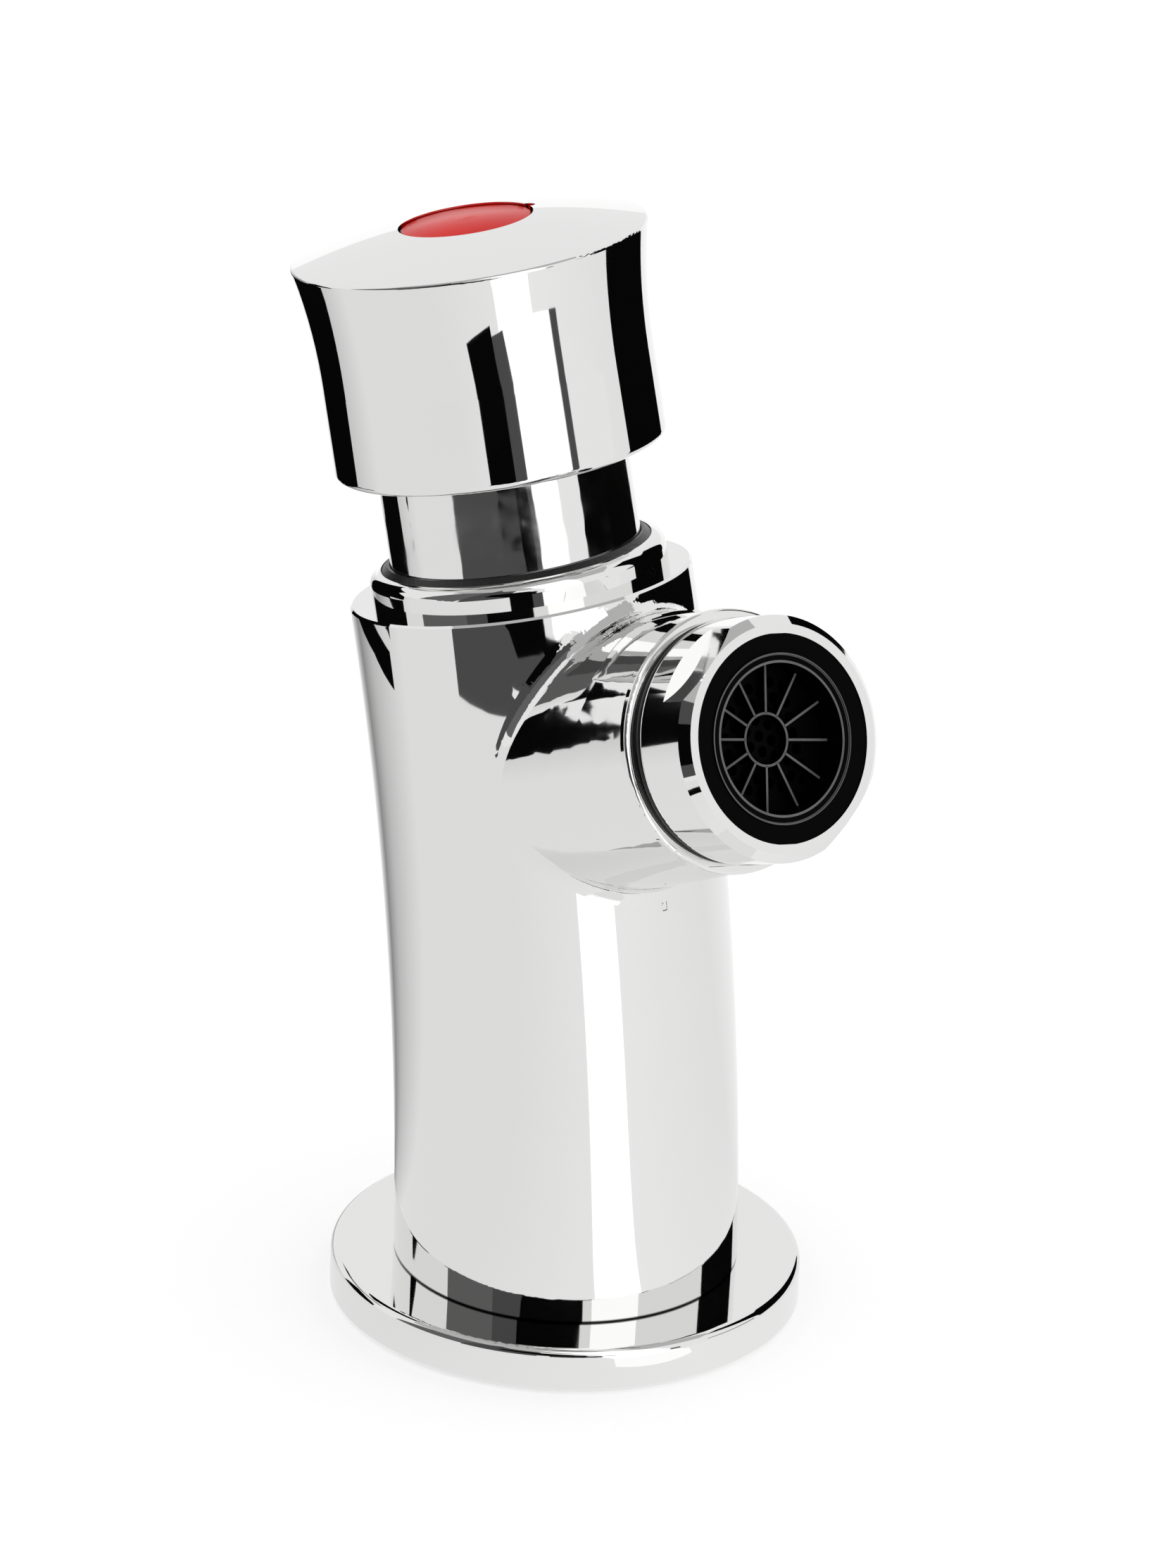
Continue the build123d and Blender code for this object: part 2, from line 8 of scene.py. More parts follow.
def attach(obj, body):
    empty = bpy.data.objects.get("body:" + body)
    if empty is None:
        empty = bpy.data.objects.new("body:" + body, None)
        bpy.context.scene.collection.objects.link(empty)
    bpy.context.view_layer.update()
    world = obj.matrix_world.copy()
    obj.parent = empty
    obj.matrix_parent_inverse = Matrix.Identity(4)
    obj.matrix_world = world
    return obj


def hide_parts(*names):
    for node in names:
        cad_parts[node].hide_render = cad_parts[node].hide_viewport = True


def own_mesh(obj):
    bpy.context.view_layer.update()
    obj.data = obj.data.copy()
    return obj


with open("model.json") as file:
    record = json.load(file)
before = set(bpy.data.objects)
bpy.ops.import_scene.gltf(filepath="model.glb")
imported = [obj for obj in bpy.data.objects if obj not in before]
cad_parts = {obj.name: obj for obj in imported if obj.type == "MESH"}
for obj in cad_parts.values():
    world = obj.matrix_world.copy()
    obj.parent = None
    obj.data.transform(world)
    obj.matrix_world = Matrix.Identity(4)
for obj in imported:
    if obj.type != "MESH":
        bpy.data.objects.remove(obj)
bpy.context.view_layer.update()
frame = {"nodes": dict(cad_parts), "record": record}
nodes = frame["nodes"]


# Wall flange and its gasket
# The flange is a turned brass cover plate with a rounded shoulder, polished and chrome plated.
# It slips over the body's spigot and is pinched between the body and the wall, on a rubber gasket.
def set_inputs(tree, node, inputs):
    """Sets a node's inputs: each is a plain value, or another node's socket to link from."""
    for socket, value in inputs.items():
        if isinstance(value, bpy.types.NodeSocket):
            tree.links.new(value, node.inputs[socket])
        else:
            node.inputs[socket].default_value = value


def add_node(tree, kind, inputs=(), **settings):
    """Adds a node with its settings and its inputs."""
    node = tree.nodes.new(kind)
    for setting, value in settings.items():
        setattr(node, setting, value)
    set_inputs(tree, node, dict(inputs))
    return node


def new_material(name):
    """A new material, with its tree and its shader."""
    material = bpy.data.materials.new(name)
    material.use_nodes = True
    return material, material.node_tree, material.node_tree.nodes["Principled BSDF"]


def object_place(tree):
    """Where a point of the surface lies in the shared frame."""
    return add_node(tree, "ShaderNodeTexCoord").outputs["Object"]


def noise(tree, place, scale, detail):
    """Noise of a scale, from 0 to 1."""
    made = add_node(tree, "ShaderNodeTexNoise", {"Vector": place, "Scale": scale, "Detail": detail})
    return made.outputs["Fac"]


def spread(tree, value, start, stop, low, high):
    """Carries the range from start to stop over to the one from low to high, and holds it at its ends."""
    stretched = add_node(tree, "ShaderNodeMapRange", {
        "Value": value, "From Min": start, "From Max": stop, "To Min": low, "To Max": high})
    return stretched.outputs["Result"]


chrome = (0.84, 0.84, 0.835, 1)


def chrome_plate(name, ripple=0.02, ripple_scale=45.0, haze=0.05, haze_scale=70.0):
    """Mirror plate over polished brass: a faint ripple from the polishing wheel and patches of haze."""
    material, tree, shader = new_material(name)
    place = object_place(tree)
    roughness = spread(tree, noise(tree, place, haze_scale, 6), 0.35, 0.75, 0.02, haze)
    bump = add_node(tree, "ShaderNodeBump", {
        "Height": noise(tree, place, ripple_scale, 1), "Strength": ripple, "Distance": 0.001})
    set_inputs(tree, shader, {
        "Base Color": chrome, "Metallic": 1, "Roughness": roughness, "Normal": bump.outputs["Normal"]})
    return material


def moulded(name, colour, variation, roughness, grain_scale, grain):
    """Rubber or plastic: its colour varies a little, and its skin has the mould's fine grain."""
    material, tree, shader = new_material(name)
    place = object_place(tree)
    clouds = noise(tree, place, grain_scale / 8, 3)
    tone = add_node(tree, "ShaderNodeValToRGB", {"Fac": clouds})
    darker, lighter = tone.color_ramp.elements
    darker.position = 0.35
    darker.color = (*[c * (1 - variation) for c in colour], 1)
    lighter.position = 0.65
    lighter.color = (*[min(1, c * (1 + variation)) for c in colour], 1)
    bump = add_node(tree, "ShaderNodeBump", {
        "Height": noise(tree, place, grain_scale, 4), "Strength": grain, "Distance": 0.0002})
    set_inputs(tree, shader, {
        "Base Color": tone.outputs["Color"], "Roughness": roughness, "Normal": bump.outputs["Normal"]})
    return material


def finish_node(node, material):
    """Gives a CAD node its finish."""
    nodes[node].data.materials.clear()
    nodes[node].data.materials.append(material)


black_rubber = moulded("black_rubber", (0.006, 0.006, 0.006), 0.25, 0.35, 2400.0, 0.25)
finish_node("wall_flange", chrome_plate("flange_chrome"))
finish_node("wall_gasket", black_rubber)


# Body
# One brass casting, bored and threaded, ground and polished all over, then chrome plated. Polishing
# leaves it less true than the turned pieces, and tips its mirror up a little towards the rim.
button_press = frame["record"]["behaviour"]["joints"][0]
press_axis = Vector(button_press["axis"])
# The button's axis leaves the body's rim here. The rim's polish leans over its last stretch, and a thin
# painted shadow line darkens the body's foot, where it stands in the flange.
rim_point = Vector((0, 0.0113454, 0.0792212))
rim_polish_slope, rim_polish_length = radians(6), 0.018
seam_bottom, seam_top, seam_painted_shadow = 0.00512, 0.0053, (0.015, 0.014, 0.013, 1)


def find_node(tree, kind):
    """A tree's first node of a kind."""
    return next(node for node in tree.nodes if node.bl_idname == kind)


def reckon(tree, operation, *values):
    """The result of a sum on numbers or sockets."""
    return add_node(tree, "ShaderNodeMath", enumerate(values), operation=operation).outputs["Value"]


def reckon_vector(tree, operation, outlet_name, *values):
    """The result of a sum on vectors, as a vector or a plain value."""
    return add_node(tree, "ShaderNodeVectorMath", enumerate(values), operation=operation).outputs[outlet_name]


def along_press(tree):
    """How far down the button's axis a point of the surface lies."""
    return reckon_vector(tree, "DOT_PRODUCT", "Value", object_place(tree), press_axis)


def slow_bump(material, height, distance, invert):
    """Puts a broad bump under a finish's own fine one."""
    tree = material.node_tree
    fine_bump = find_node(tree, "ShaderNodeBump")
    broad_bump = add_node(
        tree, "ShaderNodeBump", {"Height": height, "Strength": 1, "Distance": distance}, invert=invert)
    set_inputs(tree, fine_bump, {"Normal": broad_bump.outputs["Normal"]})


def blend_colours(tree, share, first, second):
    """A colour between two. The Mix node's colour sockets share their names, so they go by number."""
    return add_node(tree, "ShaderNodeMix", {0: share, 6: first, 7: second}, data_type="RGBA").outputs[2]


body_chrome = chrome_plate("body_chrome", ripple=0.035, ripple_scale=38.0)
body_tree = body_chrome.node_tree
rim_depth = press_axis.dot(rim_point)
rim_nearness = spread(body_tree, along_press(body_tree), rim_depth, rim_depth + rim_polish_length, 1, 0)
rim_curl = reckon(body_tree, "POWER", rim_nearness, 2)
slow_bump(body_chrome, rim_curl, sin(rim_polish_slope) * rim_polish_length / 2, invert=True)
# A thin near-black band just above the flange is painted shadow, for the shade in the joint.
foot_height = add_node(body_tree, "ShaderNodeSeparateXYZ", {"Vector": object_place(body_tree)}).outputs["Z"]
unshadowed_share = spread(body_tree, foot_height, seam_bottom, seam_top, 0, 1)
set_inputs(body_tree, body_tree.nodes["Principled BSDF"], {
    "Base Color": blend_colours(body_tree, unshadowed_share, seam_painted_shadow, chrome)})
finish_node("tap_body", body_chrome)


# Inlet thread
# The inlet is a female G1/2 thread. The CAD's bore is at its roots, and the ridge that winds round inside
# it, flat on its crest and narrower there than at its foot, is swept along a coil here.
def tree_with_inputs(name, numbers, whole_numbers=()):
    """A Geometry Nodes tree with named inputs and one geometry output, and its inputs' sockets."""
    tree = bpy.data.node_groups.new(name, "GeometryNodeTree")
    for label in numbers:
        tree.interface.new_socket(label, in_out="INPUT", socket_type="NodeSocketFloat")
    for label in whole_numbers:
        tree.interface.new_socket(label, in_out="INPUT", socket_type="NodeSocketInt")
    tree.interface.new_socket("Material", in_out="INPUT", socket_type="NodeSocketMaterial")
    tree.interface.new_socket("Geometry", in_out="OUTPUT", socket_type="NodeSocketGeometry")
    return tree, tree.nodes.new("NodeGroupInput").outputs


def coil(tree, radius, pitch, turns, steps):
    """A coil that climbs one pitch a turn."""
    spiral = add_node(tree, "GeometryNodeCurveSpiral", {
        "Resolution": steps, "Rotations": turns, "Start Radius": radius, "End Radius": radius,
        "Height": reckon(tree, "MULTIPLY", pitch, turns)})
    return spiral.outputs["Curve"]


def sweep(tree, path, profile):
    """A profile swept along a path, its open ends closed."""
    swept = add_node(tree, "GeometryNodeCurveToMesh", {
        "Curve": path, "Profile Curve": profile, "Fill Caps": True})
    return swept.outputs["Mesh"]


def end_tree(tree, geometry, material, smooth):
    """Ends a tree: instances made real, then the shading and the material."""
    real = add_node(tree, "GeometryNodeRealizeInstances", {"Geometry": geometry})
    shaded = add_node(tree, "GeometryNodeSetShadeSmooth", {
        "Geometry": real.outputs["Geometry"], "Shade Smooth": smooth})
    painted = add_node(tree, "GeometryNodeSetMaterial", {
        "Geometry": shaded.outputs["Geometry"], "Material": material})
    add_node(tree, "NodeGroupOutput", {"Geometry": painted.outputs["Geometry"]})


def grow(name, tree, values, foot, axis):
    """Evaluates a tree once, and returns it as a plain mesh that stands on a point, along an axis."""
    piece = bpy.data.objects.new(name, bpy.data.meshes.new(name))
    bpy.context.collection.objects.link(piece)
    modifier = piece.modifiers.new("grow", "NODES")
    modifier.node_group = tree
    for item in tree.interface.items_tree:
        if item.in_out == "INPUT":
            modifier[item.identifier] = values[item.name]
    bpy.context.view_layer.update()
    grown = bpy.data.meshes.new_from_object(piece.evaluated_get(bpy.context.evaluated_depsgraph_get()))
    piece.modifiers.remove(modifier)
    piece.data = grown
    grown.name = name
    side = Vector((1, 0, 0))
    stand = Matrix((side, axis.cross(side), axis)).transposed().to_4x4()
    stand.translation = foot
    grown.transform(stand)
    return piece


thread_tree, thread = tree_with_inputs(
    "thread_ridge", ("Root Radius", "Crest Radius", "Pitch", "Turns", "Crest Width", "Foot Share"))
both_radii = reckon(thread_tree, "ADD", thread["Root Radius"], thread["Crest Radius"])
middle_radius = reckon(thread_tree, "MULTIPLY", both_radii, 0.5)
ridge_height = reckon(thread_tree, "SUBTRACT", thread["Root Radius"], thread["Crest Radius"])
foot_width = reckon(thread_tree, "MULTIPLY", thread["Pitch"], thread["Foot Share"])
thread_path = coil(thread_tree, middle_radius, thread["Pitch"], thread["Turns"], 72)
level_path = add_node(thread_tree, "GeometryNodeSetCurveNormal", {"Curve": thread_path}, mode="Z_UP")
ridge = add_node(thread_tree, "GeometryNodeCurvePrimitiveQuadrilateral", {
    "Bottom Width": foot_width, "Top Width": thread["Crest Width"], "Offset": 0, "Height": ridge_height},
    mode="TRAPEZOID")
crest_inwards = add_node(thread_tree, "GeometryNodeTransform", {
    "Geometry": ridge.outputs["Curve"], "Rotation": (0, 0, -pi / 2)})
ridge_mesh = sweep(thread_tree, level_path.outputs["Curve"], crest_inwards.outputs["Geometry"])
end_tree(thread_tree, ridge_mesh, thread["Material"], smooth=False)
thread_start = Vector((0, 0, 0.00095))
inlet_thread = grow("inlet_thread_ridge", thread_tree, {
    "Root Radius": 0.01052, "Crest Radius": 0.00932, "Pitch": 0.001814, "Turns": 6.4, "Crest Width": 0.0003,
    "Foot Share": 0.86, "Material": body_chrome}, thread_start, Vector((0, 0, 1)))
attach(inlet_thread, "tap")


# Strainer, cartridge and valve
# What sits inside the body: a stainless strainer in the inlet, and a white plastic cartridge with
# rubber seals, a steel seat and a brass-backed valve washer.
def bare_metal(name, colour, roughness, mark_scale, mark_stretch=12):
    """Bare turned or drawn metal with fine tool marks."""
    material, tree, shader = new_material(name)
    stretched = add_node(tree, "ShaderNodeMapping", {
        "Vector": object_place(tree), "Scale": (1, 1, mark_stretch)})
    marks = noise(tree, stretched.outputs["Vector"], mark_scale, 3)
    set_inputs(tree, shader, {
        "Base Color": (*colour, 1), "Metallic": 1,
        "Roughness": spread(tree, marks, 0, 1, roughness * 0.7, roughness * 1.3)})
    return material


stainless = bare_metal("stainless", (0.62, 0.61, 0.6), 0.28, 500.0)
bare_brass = bare_metal("bare_brass", (0.72, 0.53, 0.25), 0.3, 500.0)
white_plastic = moulded("white_plastic", (0.78, 0.78, 0.75), 0.03, 0.4, 1500.0, 0.1)
for node in ("inlet_strainer", "cap_screw", "spindle", "valve_seat", "piston_clip"):
    finish_node(node, stainless)
for node in ("washer_backing", "valve_nut"):
    finish_node(node, bare_brass)
for node in ("cartridge_cover", "cartridge_housing", "piston"):
    finish_node(node, white_plastic)
for node in ("spindle_seal", "upper_seal", "lower_seal", "valve_washer", "cup_seal", "aerator_washer"):
    finish_node(node, black_rubber)


# Return spring
# A steel coil between the cartridge's cover and the cap, along the button's leaning axis,
# its foot on the cover and its head under the cap.
# Its foot's and its head's heights are along the button's axis, from the rim.
spring_foot, spring_head = -0.00715, 0.0283
spring_wire_radius, spring_turns = 0.0008, 8
spring_tree, spring_sizes = tree_with_inputs("coil_spring", ("Radius", "Wire Radius", "Pitch", "Turns"))
spring_path = coil(spring_tree, spring_sizes["Radius"], spring_sizes["Pitch"], spring_sizes["Turns"], 48)
spring_wire = add_node(spring_tree, "GeometryNodeCurvePrimitiveCircle", {
    "Resolution": 12, "Radius": spring_sizes["Wire Radius"]})
spring_mesh = sweep(spring_tree, spring_path, spring_wire.outputs["Curve"])
end_tree(spring_tree, spring_mesh, spring_sizes["Material"], smooth=True)
button_up = -press_axis
spring = grow("coil_spring", spring_tree, {
    "Radius": 0.0108, "Wire Radius": spring_wire_radius, "Pitch": (spring_head - spring_foot) / spring_turns,
    "Turns": spring_turns, "Material": stainless}, rim_point + button_up * spring_foot, button_up)
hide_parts("return_spring")
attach(spring, "tap")
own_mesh(spring)


# Collar and wiper
# A chromed ring nut screwed into the body's rim holds the cartridge down.
# A black rubber wiper inside it keeps dirt off the sliding sleeve.
finish_node("collar_nut", chrome_plate("collar_chrome", ripple=0.015))
finish_node("wiper_ring", black_rubber)


# Push button
# A heavy chromed cap pressed on a chromed sleeve, with a glossy red plastic index in its top.
# The sleeve rubs in its wiper, so it is lightly scuffed, and its mirror is tipped up a little.
# The index's crown falls by this many metres for each square metre of its radius squared.
sleeve_slope = radians(3)
index_crown = 14


def from_axis(tree, point, axis):
    """How far a point of the surface lies from an axis through a point."""
    offset = reckon_vector(tree, "SUBTRACT", "Vector", object_place(tree), point)
    across = reckon_vector(tree, "CROSS_PRODUCT", "Vector", offset, axis)
    return reckon_vector(tree, "LENGTH", "Value", across)


finish_node("push_cap", chrome_plate("cap_chrome", ripple=0.012))
sleeve_chrome = chrome_plate("sleeve_chrome", ripple=0.05, ripple_scale=260.0, haze=0.12, haze_scale=160.0)
slow_bump(sleeve_chrome, along_press(sleeve_chrome.node_tree), sin(sleeve_slope), invert=False)
finish_node("push_sleeve", sleeve_chrome)
red_plastic = moulded("red_plastic", (0.78, 0.008, 0.004), 0.04, 0.3, 900.0, 0.05)
red_tree = red_plastic.node_tree
set_inputs(red_tree, red_tree.nodes["Principled BSDF"], {"Specular IOR Level": 0.16})
index_fall = reckon(red_tree, "POWER", from_axis(red_tree, rim_point, press_axis), 2)
slow_bump(red_plastic, index_fall, index_crown, invert=True)
finish_node("index_button", red_plastic)


# Aerator
# A chromed ring nut screwed over the spout's end on a rubber ring, with a black plastic insert:
# a star of twelve spokes stands in front of its screen. The star's front and a fine bead round the
# insert's face carry a painted dark grey highlight on the black plastic.
water_outlet = next(mount for mount in frame["record"]["mounts"] if mount["name"] == "water_outlet")
outlet = Vector(water_outlet["axis"]).normalized()
# The spout's axis starts at its root in the body, and the star's front stands this far out along it.
spout_root, star_reach = Vector((0, 0.006673, 0.061015)), 0.0418
plastic_gloss, plastic_black = 0.03, (0.0012, 0.0012, 0.0012)
bead_band, star_band = (0.00883, 0.00907), (0.0, 0.009)


def painted_front_highlight(name, grey, band):
    """Black plastic, its front painted grey as a highlight between two distances from the spout's axis."""
    material = moulded(name, (grey, grey, grey), 0.15, 0.5, 1500.0, 0.1)
    tree = material.node_tree
    normal = add_node(tree, "ShaderNodeTexCoord").outputs["Normal"]
    facing = reckon_vector(tree, "DOT_PRODUCT", "Value", normal, outlet)
    front = spread(tree, facing, 0.4, 0.8, 0, 1)
    middle, half_width = (band[0] + band[1]) / 2, (band[1] - band[0]) / 2
    in_band = reckon(tree, "COMPARE", from_axis(tree, spout_root, outlet), middle, half_width)
    # Faces that look out along the spout, within the band, get the grey: a painted highlight.
    share = reckon(tree, "MULTIPLY", in_band, front)
    tone = find_node(tree, "ShaderNodeValToRGB").outputs["Color"]
    set_inputs(tree, tree.nodes["Principled BSDF"], {
        "Specular IOR Level": plastic_gloss,
        "Base Color": blend_colours(tree, share, (*plastic_black, 1), tone)})
    return material


black_plastic = moulded("black_plastic", plastic_black, 0.2, 0.5, 1500.0, 0.1)
set_inputs(black_plastic.node_tree, black_plastic.node_tree.nodes["Principled BSDF"], {
    "Specular IOR Level": plastic_gloss})
finish_node("aerator_shell", chrome_plate("shell_chrome", ripple=0.012))
finish_node("outlet_seal_ring", black_rubber)
finish_node("aerator_screen", black_plastic)
finish_node("flow_regulator", black_plastic)
# The insert and the star are black plastic, with a painted grey highlight on the bead and the star's front.
finish_node("aerator_insert", painted_front_highlight("insert_painted_bead_highlight", 0.13, bead_band))
grey_plastic = painted_front_highlight("grey_plastic", 0.15, star_band)

star_tree, star_sizes = tree_with_inputs(
    "spoked_star",
    ("Rim Radius", "Hub Radius", "Line Width", "Spoke Thickness", "Rim Depth", "Setback", "Start Angle"),
    ("Spokes",))


def strip_profile(depth):
    """The section of a rim or a spoke: as wide as the star's lines, and as deep as it says."""
    return add_node(star_tree, "GeometryNodeCurvePrimitiveQuadrilateral", {
        "Width": star_sizes["Line Width"], "Height": depth}).outputs["Curve"]


def star_point(x, z):
    """A point over the star's first spoke."""
    return add_node(star_tree, "ShaderNodeCombineXYZ", {"X": x, "Z": z}).outputs["Vector"]


def star_ring(radius, depth, level):
    """A ring of the star, its middle at a level."""
    circle = add_node(star_tree, "GeometryNodeCurvePrimitiveCircle", {"Resolution": 96, "Radius": radius})
    ring = sweep(star_tree, circle.outputs["Curve"], strip_profile(depth))
    sunk = add_node(star_tree, "GeometryNodeTransform", {
        "Geometry": ring, "Translation": star_point(0, level)})
    return sunk.outputs["Geometry"]


rim_level = reckon(star_tree, "MULTIPLY", star_sizes["Rim Depth"], -0.5)
half_spoke = reckon(star_tree, "MULTIPLY", star_sizes["Spoke Thickness"], -0.5)
spoke_level = reckon(star_tree, "SUBTRACT", half_spoke, star_sizes["Setback"])
ray = add_node(star_tree, "GeometryNodeCurvePrimitiveLine", {
    "Start": star_point(star_sizes["Hub Radius"], spoke_level),
    "End": star_point(star_sizes["Rim Radius"], spoke_level)})
spoke = sweep(star_tree, ray.outputs["Curve"], strip_profile(star_sizes["Spoke Thickness"]))
points = add_node(star_tree, "GeometryNodePoints", {"Count": star_sizes["Spokes"]})
number = add_node(star_tree, "GeometryNodeInputIndex").outputs["Index"]
step = reckon(star_tree, "DIVIDE", 2 * pi, star_sizes["Spokes"])
turn = reckon(star_tree, "MULTIPLY_ADD", number, step, star_sizes["Start Angle"])
turn_about_axis = add_node(star_tree, "ShaderNodeCombineXYZ", {"Z": turn}).outputs["Vector"]
spokes = add_node(star_tree, "GeometryNodeInstanceOnPoints", {
    "Points": points.outputs["Points"], "Instance": spoke, "Rotation": turn_about_axis})
joined = add_node(star_tree, "GeometryNodeJoinGeometry")
for geometry in (
        star_ring(star_sizes["Rim Radius"], star_sizes["Rim Depth"], rim_level),
        star_ring(star_sizes["Hub Radius"], star_sizes["Spoke Thickness"], spoke_level),
        spokes.outputs["Instances"]):
    set_inputs(star_tree, joined, {"Geometry": geometry})
end_tree(star_tree, joined.outputs["Geometry"], star_sizes["Material"], smooth=False)
star = grow("star_of_spokes", star_tree, {
    "Rim Radius": 0.00816, "Hub Radius": 0.00277, "Line Width": 0.00026, "Spoke Thickness": 0.001,
    "Rim Depth": 0.0038, "Setback": 0.0027, "Start Angle": radians(15), "Spokes": 12,
    "Material": grey_plastic}, spout_root + outlet * star_reach, outlet)
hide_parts("aerator_star")
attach(star, "tap")


# Studio
# A plain pale floor under a white sky, with one large softbox. Polished chrome shows only what stands
# round it, so the studio's dark things are here too, as cards that nothing but a reflection shows.
def even_tone(name, level, colour=0.0):
    """Matt paper, or with colour 0 a card or lamp of one even tone whatever the light."""
    material, tree, shader = new_material(name)
    set_inputs(tree, shader, {
        "Base Color": (colour, colour, colour, 1), "Roughness": 1, "Specular IOR Level": 0,
        "Emission Color": (1, 1, 1, 1), "Emission Strength": level})
    return material


def stage_object(name, corners, faces, material):
    """A plain stage mesh."""
    mesh = bpy.data.meshes.new(name)
    mesh.from_pydata(corners, [], faces)
    mesh.materials.append(material)
    thing = bpy.data.objects.new(name, mesh)
    bpy.context.collection.objects.link(thing)
    return thing


def reflected_only(name, corners, faces, material):
    """A stage mesh left to the reflections: it casts no shadow and hides nothing."""
    thing = stage_object(name, corners, faces, material)
    thing.visible_camera = False
    thing.visible_diffuse = False
    thing.visible_shadow = False


def compass(azimuth, distance, height):
    """Point at an azimuth in degrees, 0 in front of the spout and 90 to its +X side."""
    return Vector((sin(radians(azimuth)) * distance, -cos(radians(azimuth)) * distance, height))


def sheet(name, corners, material):
    """A flat sheet between four corners."""
    reflected_only(name, corners, [(0, 1, 2, 3)], material)


def card(name, start, stop, distance, bottom, top, material):
    """A flat upright card between two azimuths."""
    foot = [compass(start, distance, bottom), compass(stop, distance, bottom)]
    head = [compass(stop, distance, top), compass(start, distance, top)]
    sheet(name, foot + head, material)


def paper_band(name, distance, uprights, material):
    """A strip of paper bent round the tap, through uprights of azimuth, bottom and top."""
    corners = [compass(turn, distance, z) for turn, bottom, top in uprights for z in (bottom, top)]
    faces = [(k, k + 2, k + 3, k + 1) for k in range(0, len(corners) - 2, 2)]
    reflected_only(name, corners, faces, material)


def level_square(half_width, height):
    """The corners of a level square about the tap."""
    return [(x * half_width, y * half_width, height) for x, y in ((-1, -1), (1, -1), (1, 1), (-1, 1))]


# The floor lights itself a little, so that it goes over into the white behind it. Reflections show it with
# painted light and shade by azimuth, as a floor between a window, a wall and a lamp has them.
floor_glow, backdrop_glow = 0.26, 0.42
floor_tones = (
    (-180, 0.28), (-160, 0.56), (-125, 0.84), (-60, 0.84), (0, 0.94), (65, 0.86), (150, 1.1), (180, 0.28))
floor_tones_middle = Vector((0, 0.02, 0))
floor_paper = even_tone("floor_paper", floor_glow, colour=0.8)
floor_tree = floor_paper.node_tree
floor_shader = floor_tree.nodes["Principled BSDF"]
floor_rays = add_node(floor_tree, "ShaderNodeLightPath")
seen_glow = spread(floor_tree, floor_rays.outputs["Is Camera Ray"], 0, 1, floor_glow, backdrop_glow)
set_inputs(floor_tree, floor_shader, {"Emission Strength": seen_glow})
floor_offset = reckon_vector(floor_tree, "SUBTRACT", "Vector", floor_tones_middle, object_place(floor_tree))
floor_axes = add_node(floor_tree, "ShaderNodeSeparateXYZ", {"Vector": floor_offset})
minus_x = reckon(floor_tree, "MULTIPLY", floor_axes.outputs["X"], -1)
floor_turn = reckon(floor_tree, "ARCTAN2", minus_x, floor_axes.outputs["Y"])
floor_share = spread(floor_tree, floor_turn, -pi, pi, 0, 1)
floor_tone = add_node(floor_tree, "ShaderNodeValToRGB", {"Fac": floor_share})
stops = floor_tone.color_ramp.elements
for turn, level in floor_tones:
    stop = stops.new(turn / 360 + 0.5) if abs(turn) < 180 else stops[0 if turn < 0 else -1]
    stop.color = (level, level, level, 1)
floor_shine = add_node(floor_tree, "ShaderNodeEmission", {"Color": floor_tone.outputs["Color"]})
floor_mix = add_node(floor_tree, "ShaderNodeMixShader", {
    0: floor_rays.outputs["Is Glossy Ray"],
    1: floor_shader.outputs["BSDF"],
    2: floor_shine.outputs["Emission"]})
set_inputs(floor_tree, floor_tree.nodes["Material Output"], {"Surface": floor_mix.outputs["Shader"]})
stage_object("floor", level_square(3, -0.0001), [(0, 1, 2, 3)], floor_paper)

softbox_cloth = even_tone("softbox_cloth", 1.35)
black_card = even_tone("black_card", 0.002)
dark_card = even_tone("dark_card", 0.075)
wall_paint = even_tone("wall_paint", 0.13)
# The sheet before the softbox shines where it is seen at a low angle.
glare = even_tone("glare", 0.0)
glare_tree = glare.node_tree
glare_angle = add_node(glare_tree, "ShaderNodeLayerWeight").outputs["Facing"]
set_inputs(glare_tree, glare_tree.nodes["Principled BSDF"], {
    "Emission Strength": spread(glare_tree, glare_angle, 0.42, 0.62, 0.84, 1.35)})

card("softbox", -22, 10, 0.6, 0.0, 0.4, softbox_cloth)
softbox_hood = ((-22, 0.6, 0.39), (10, 0.6, 0.39), (18, 0.3, 0.95), (-62, 0.36, 0.95))
sheet("softbox_hood", [compass(*corner) for corner in softbox_hood], softbox_cloth)
softbox_glare = ((-25, 0.03, 0.0005), (-25, 0.6, 0.0005), (-1, 0.6, 0.0005), (-1, 0.03, 0.0005))
card("softbox_left_frame", -30, -22, 0.59, 0.0, 0.15, dark_card)
card("softbox_right_frame", 10.5, 15.5, 0.59, 0.0, 0.15, dark_card)
sheet("softbox_glare", [compass(*corner) for corner in softbox_glare], glare)
card("softbox_flap_left", -31, -20, 0.585, 0.152, 0.195, black_card)
card("softbox_flap_middle", -20, -14, 0.585, 0.152, 0.195, dark_card)
card("softbox_flap_right", -14, -7, 0.585, 0.152, 0.195, black_card)

camera_stand = ((-47, 0.0, 0.104), (-38, 0.0, 0.118), (-30, 0.0, 0.131))
camera_cloth = ((-72, 0.24, 0.4), (-60, 0.19, 0.42), (-47, 0.13, 0.4), (-38, 0.145, 0.36), (-28, 0.16, 0.24))
paper_band("camera_stand", 0.48, camera_stand, black_card)
paper_band("camera_cloth", 0.48, camera_cloth, black_card)
card("cabinet", -54, -29, 0.7, 0.1, 0.4, dark_card)
sheet("left_wall", [(-0.56, -0.02, 0), (-3.05, -2.36, 0), (-3.05, -2.36, 4), (-0.56, -0.02, 2)], dark_card)
card("far_wall", -125, -85, 1.1, 0.12, 2.0, wall_paint)

card("right_flag", 60, 91.5, 0.21, 0.012, 0.285, black_card)
card("right_flag_end", 91.5, 107, 0.21, 0.012, 0.19, black_card)
right_band = ((31, 0.125, 0.175), (45, 0.1, 0.155), (60, 0.07, 0.13))
paper_band("right_band", 0.6, right_band, black_card)

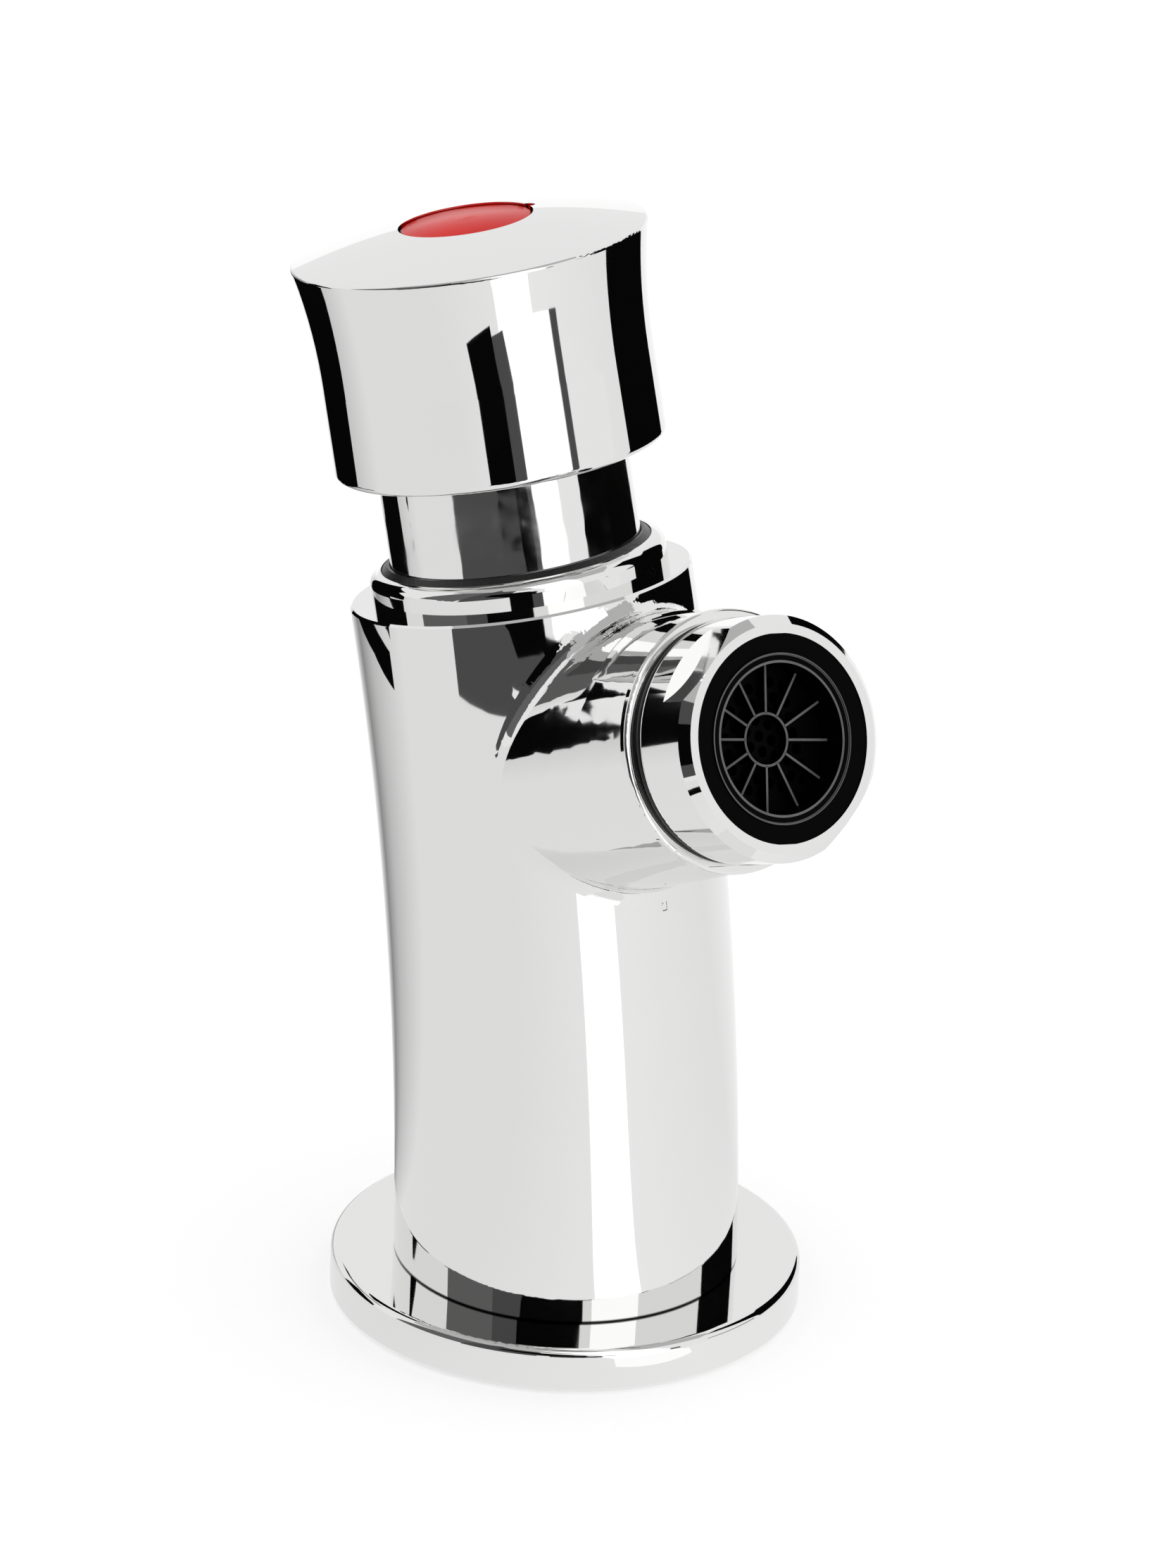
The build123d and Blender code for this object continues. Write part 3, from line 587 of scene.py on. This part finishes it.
rear_card = [(-0.037, 0.062, 0.056), (-0.001, 0.062, 0.056), (-0.001, 0.062, 0.1), (-0.037, 0.062, 0.1)]
rear_bag = (
    (-162, 0, 0.134), (-154, 0, 0.12), (-146, 0, 0.097),
    (-142, 0, 0.086), (-138.5, 0, 0.064), (-137, 0, 0.036))
rear_strip = [(turn, 0.0472, 0.054) for turn in (-136, -153, -169, -185)]
sheet("rear_card", rear_card, black_card)
paper_band("rear_bag", 0.248, rear_bag, black_card)
paper_band("rear_strip", 0.081, rear_strip, black_card)
sheet("ceiling", level_square(0.8, 1.2), even_tone("ceiling", 0.5))

# The sky lights the tap at one level, shows a little brighter in its reflections, and is white behind it.
sky_light, sky_white, sky_reflected_share = 0.8, 1.0, 0.55
world = bpy.data.worlds.new("studio")
bpy.context.scene.world = world
world.use_nodes = True
sky_tree = world.node_tree
sky_rays = add_node(sky_tree, "ShaderNodeLightPath")
reflected = reckon(sky_tree, "MULTIPLY", sky_rays.outputs["Is Glossy Ray"], sky_reflected_share)
whiteness = reckon(sky_tree, "MAXIMUM", sky_rays.outputs["Is Camera Ray"], reflected)
set_inputs(sky_tree, sky_tree.nodes["Background"], {
    "Color": (1, 1, 1, 1), "Strength": spread(sky_tree, whiteness, 0, 1, sky_light, sky_white)})

# The camera stands at the photograph's angle, far off behind a long lens.
azimuth, elevation, roll, distance = radians(-40.77), radians(26.01), radians(2.17), 3.728
aim, aim_lift = Vector((0, 0, 0.055)), 0.00427
focal_pixels, image_height, sensor_height = 49992, 2227, 36
back = Vector((sin(azimuth) * cos(elevation), -cos(azimuth) * cos(elevation), sin(elevation)))
right = Vector((cos(azimuth), sin(azimuth), 0))
up = back.cross(right)
tilted_right = right * cos(roll) + up * sin(roll)
tilted_up = up * cos(roll) - right * sin(roll)
camera_data = bpy.data.cameras.new("camera")
camera_data.sensor_fit = "VERTICAL"
camera_data.sensor_height = sensor_height
camera_data.lens = focal_pixels * sensor_height / image_height
camera_data.clip_end = 20
camera = bpy.data.objects.new("camera", camera_data)
bpy.context.collection.objects.link(camera)
stance = Matrix((tilted_right, tilted_up, back)).transposed().to_4x4()
stance.translation = aim + tilted_up * aim_lift + back * distance
camera.matrix_world = stance
bpy.context.scene.camera = camera
bpy.context.scene.view_settings.view_transform = "Standard"
